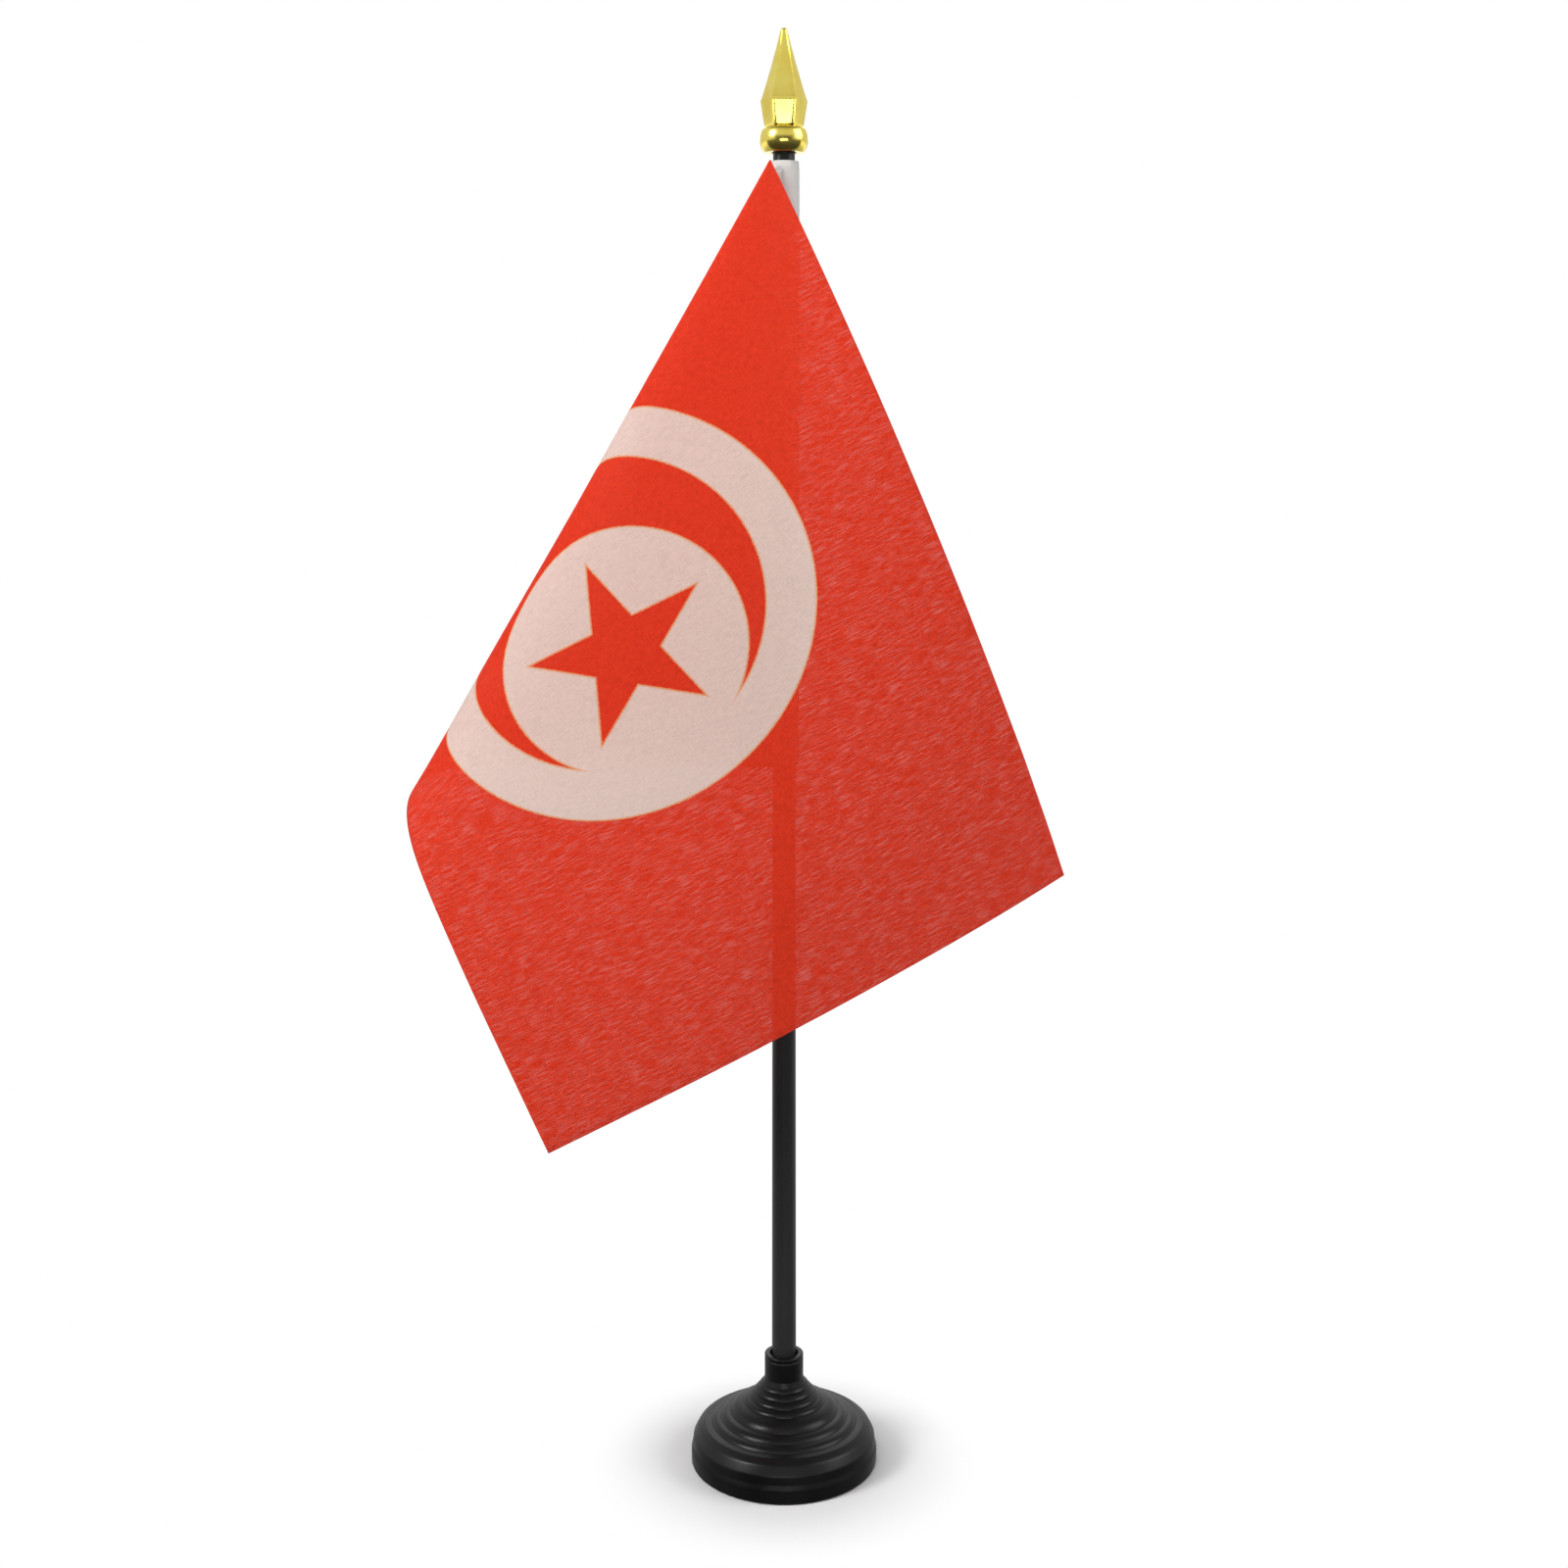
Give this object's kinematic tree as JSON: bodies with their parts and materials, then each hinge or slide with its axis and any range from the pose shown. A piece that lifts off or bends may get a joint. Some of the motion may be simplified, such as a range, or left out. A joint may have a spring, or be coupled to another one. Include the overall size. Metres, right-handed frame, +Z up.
{
  "type": "desk flag stand",
  "caption": "Small desk flag: cloth panel sewn to a sleeve on a slim tapered pole, gilt spear tip, stepped round black foot.",
  "frame": {"origin": "on the desk, at the centre of the foot's flat underside, on the pole's axis", "axes": "+Z up along the pole; -Y towards a reader who sees the printed front; +X to that reader's right"},
  "size_m": [0.1124, 0.0361, 0.25],
  "materials": {
    "foot_plastic": "satin moulded",
    "ballast_steel": "zinc plated",
    "cover_plastic": "fine moulded texture",
    "pole_plastic": "satin moulded",
    "gilt_plating": "bright vacuum-plated gilt",
    "sleeve_cloth": "plain white woven polyester",
    "thread": "spun thread",
    "flag_cloth": "printed woven polyester, light shows through it"
  },
  "bodies": {
    "base": {"base_shell": "foot_plastic", "ballast_ring": "ballast_steel", "bottom_cover": "cover_plastic"},
    "pole": {"pole": "pole_plastic"},
    "finial": {"finial": "gilt_plating"},
    "sleeve": {"sleeve": "sleeve_cloth"},
    "flag": {"flag_panel": "flag_cloth", "seam_strip": "sleeve_cloth", "seam_thread": "thread"}
  },
  "joints": [
    {"name": "pole_lift", "type": "slide", "parent": "base", "child": "pole", "axis": [0, 0, 1], "range_m": [0, 0.03]},
    {"name": "finial_lift", "type": "slide", "parent": "pole", "child": "finial", "axis": [0, 0, 1], "range_m": [0, 0.02]},
    {"name": "sleeve_slide", "type": "slide", "parent": "pole", "child": "sleeve", "axis": [0, 0, 1], "range_m": [-0.06, 0]},
    {"name": "flag_swing", "type": "hinge", "parent": "sleeve", "child": "flag", "pos_m": [0, 0, 0.2291], "axis": [0, 0, 1], "continuous": true}
  ]
}
